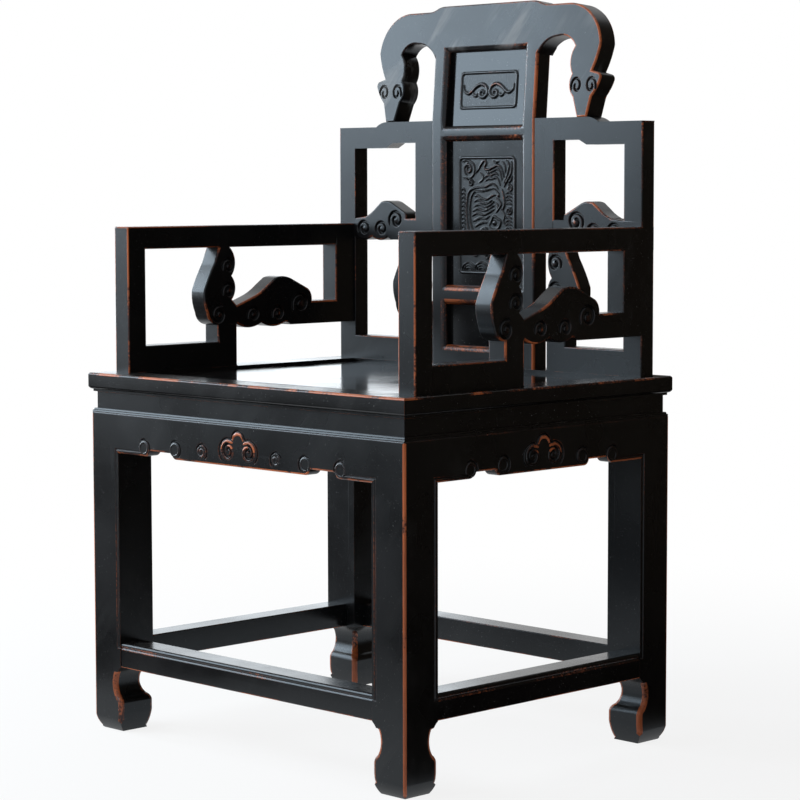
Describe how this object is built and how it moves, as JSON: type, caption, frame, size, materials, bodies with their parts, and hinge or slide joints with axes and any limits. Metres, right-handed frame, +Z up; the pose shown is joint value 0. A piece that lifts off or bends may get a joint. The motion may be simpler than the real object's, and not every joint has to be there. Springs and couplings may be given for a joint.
{
  "type": "taishi chair",
  "caption": "Black-lacquered wooden armchair with a waisted seat, hoof feet, level stretchers, open cloud-carved arms and a stepped back with a panelled splat and scrolled crest.",
  "frame": {"origin": "on the floor, under the middle of the seat frame", "axes": "+Z up, -Y the way the chair faces, +X to the right of someone looking at its front"},
  "size_m": [0.6284, 0.5146, 1.0205],
  "materials": {
    "black_lacquer": "worn satin black lacquer, reddish brown wood showing along the edges",
    "seat_lacquer": "polished black lacquer",
    "carved_lacquer": "satin black lacquer over low relief carving",
    "bare_wood": "dark unlacquered wood"
  },
  "bodies": {
    "root": {"apron_front": "black_lacquer", "apron_left": "black_lacquer", "apron_rear": "black_lacquer", "apron_right": "black_lacquer", "arm_cloud_post_left": "black_lacquer", "arm_cloud_post_right": "black_lacquer", "arm_cloud_rail_left": "black_lacquer", "arm_cloud_rail_right": "black_lacquer", "arm_foot_rail_left": "black_lacquer", "arm_foot_rail_right": "black_lacquer", "arm_front_post_left": "black_lacquer", "arm_front_post_right": "black_lacquer", "arm_rear_post_left": "black_lacquer", "arm_rear_post_right": "black_lacquer", "arm_top_rail_left": "black_lacquer", "arm_top_rail_right": "black_lacquer", "back_cloud_post_left": "black_lacquer", "back_cloud_post_right": "black_lacquer", "back_cloud_rail_left": "black_lacquer", "back_cloud_rail_right": "black_lacquer", "back_foot_rail_left": "black_lacquer", "back_foot_rail_right": "black_lacquer", "back_inner_stile_left": "black_lacquer", "back_inner_stile_right": "black_lacquer", "back_outer_stile_left": "black_lacquer", "back_outer_stile_right": "black_lacquer", "back_top_rail_left": "black_lacquer", "back_top_rail_right": "black_lacquer", "crest_rail": "black_lacquer", "leg_front_left": "black_lacquer", "leg_front_right": "black_lacquer", "leg_rear_left": "black_lacquer", "leg_rear_right": "black_lacquer", "seat_batten_left": "bare_wood", "seat_batten_right": "bare_wood", "seat_panel": "seat_lacquer", "seat_rail_front": "black_lacquer", "seat_rail_left": "black_lacquer", "seat_rail_rear": "black_lacquer", "seat_rail_right": "black_lacquer", "splat_panel_bottom": "carved_lacquer", "splat_panel_middle": "carved_lacquer", "splat_panel_top": "carved_lacquer", "splat_rail_foot": "black_lacquer", "splat_rail_lower": "black_lacquer", "splat_rail_upper": "black_lacquer", "splat_stile_left": "black_lacquer", "splat_stile_right": "black_lacquer", "stretcher_front": "black_lacquer", "stretcher_left": "black_lacquer", "stretcher_rear": "black_lacquer", "stretcher_right": "black_lacquer", "waist_front": "black_lacquer", "waist_left": "black_lacquer", "waist_rear": "black_lacquer", "waist_right": "black_lacquer"}
  },
  "joints": []
}
